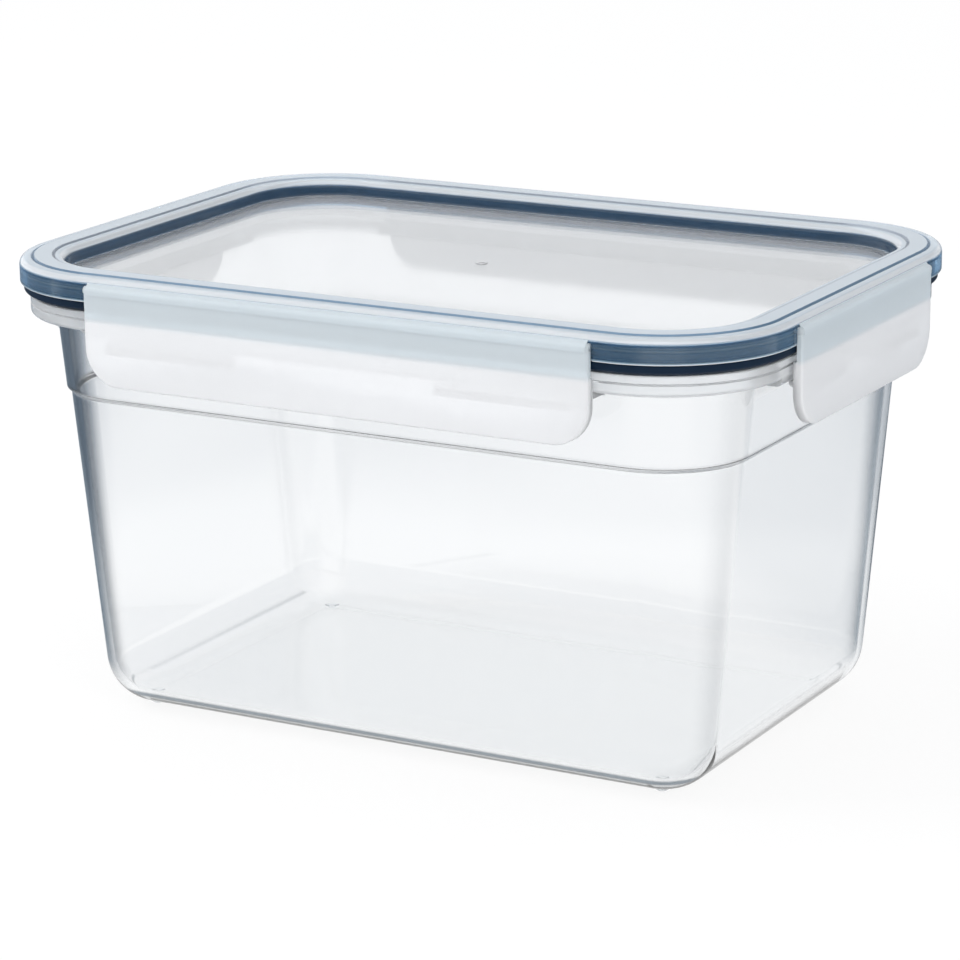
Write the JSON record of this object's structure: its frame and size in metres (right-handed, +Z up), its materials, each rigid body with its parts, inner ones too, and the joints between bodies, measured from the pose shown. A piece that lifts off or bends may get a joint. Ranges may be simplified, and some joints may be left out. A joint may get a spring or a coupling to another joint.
{
  "type": "clip-lid food storage box",
  "caption": "Clear rectangular storage box with tapered walls, a recessed lid with a dark rubber seal, and locking flaps on thin hinges along every side.",
  "frame": {"origin": "middle of the box's footprint, level with the bottom of its feet", "axes": "+X along the long side, +Y to the back, +Z up"},
  "size_m": [0.21, 0.15, 0.118],
  "materials": {
    "clear_plastic": "clear, polished",
    "lid_plastic": "clear with a faint haze, glossy",
    "flap_plastic": "milky, translucent, satin",
    "seal_rubber": "navy silicone, satin"
  },
  "bodies": {
    "box": {"container": "clear_plastic", "lid": "lid_plastic", "seal": "seal_rubber"},
    "right_flap": {"flap_right": "flap_plastic"},
    "back_flap": {"flap_back": "flap_plastic"},
    "left_flap": {"flap_left": "flap_plastic"},
    "front_flap": {"flap_front": "flap_plastic"}
  },
  "joints": [
    {"name": "right_hinge", "type": "hinge", "parent": "box", "child": "right_flap", "pos_m": [0.104, 0, 0.1147], "axis": [0, -1, 0], "range_deg": [0, 110]},
    {"name": "back_hinge", "type": "hinge", "parent": "box", "child": "back_flap", "pos_m": [0, 0.074, 0.1147], "axis": [1, 0, 0], "range_deg": [0, 110]},
    {"name": "left_hinge", "type": "hinge", "parent": "box", "child": "left_flap", "pos_m": [-0.104, 0, 0.1147], "axis": [0, 1, 0], "range_deg": [0, 110]},
    {"name": "front_hinge", "type": "hinge", "parent": "box", "child": "front_flap", "pos_m": [0, -0.074, 0.1147], "axis": [-1, 0, 0], "range_deg": [0, 110]}
  ]
}
